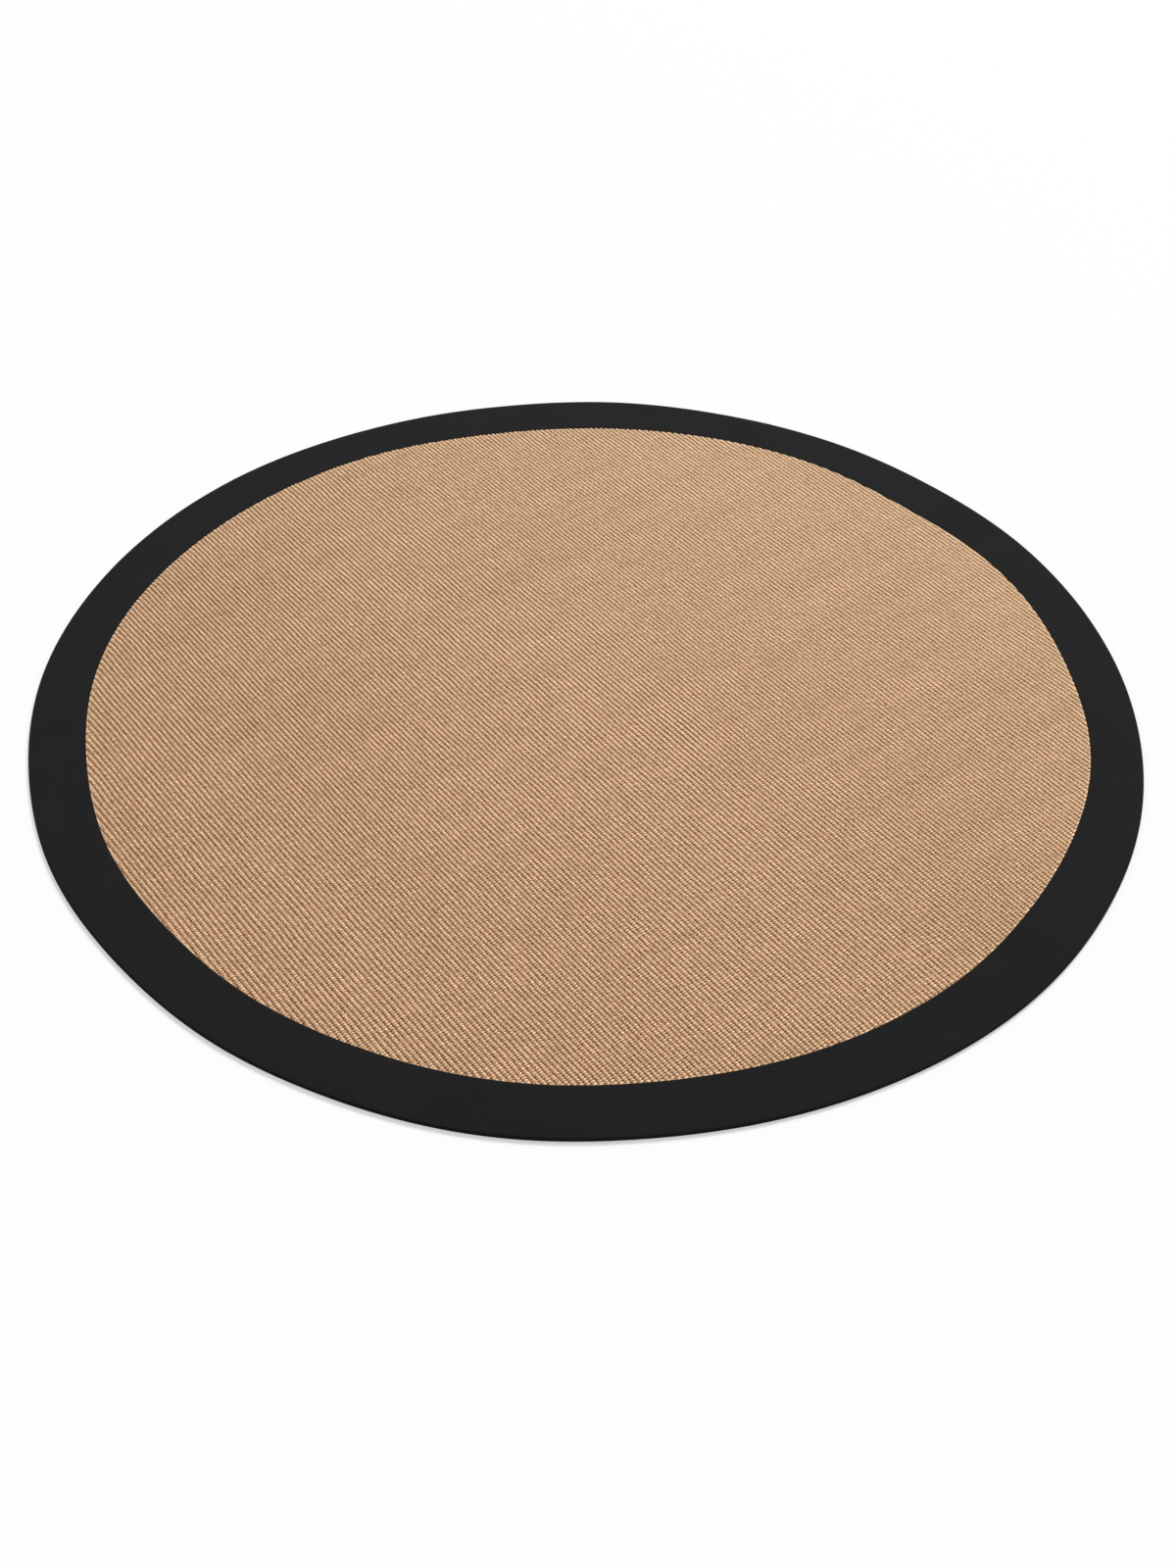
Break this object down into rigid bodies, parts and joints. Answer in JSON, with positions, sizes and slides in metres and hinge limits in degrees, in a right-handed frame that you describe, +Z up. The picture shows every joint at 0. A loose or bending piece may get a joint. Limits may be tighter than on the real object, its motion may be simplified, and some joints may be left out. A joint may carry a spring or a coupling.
{
  "type": "sisal rug",
  "caption": "Round ribbed sisal rug, lying flat, with a plain black cotton tape folded over its rim as a border.",
  "frame": {"origin": "middle of the underside, on the floor", "axes": "+Z up out of the pile face; +Y along the ribs; +X across them"},
  "size_m": [1.4956, 1.5028, 0.0064],
  "materials": {
    "sisal": "undyed straw-coloured loop yarn in raised rows, matte with a faint fibre sheen",
    "black_cotton": "plain-woven black cotton tape, matte",
    "latex_back": "thin natural latex on the carpet's back, matte, with the cloth's rows faintly printed through"
  },
  "bodies": {
    "root": {"sisal_field": "sisal", "cotton_border": "black_cotton"}
  },
  "joints": []
}
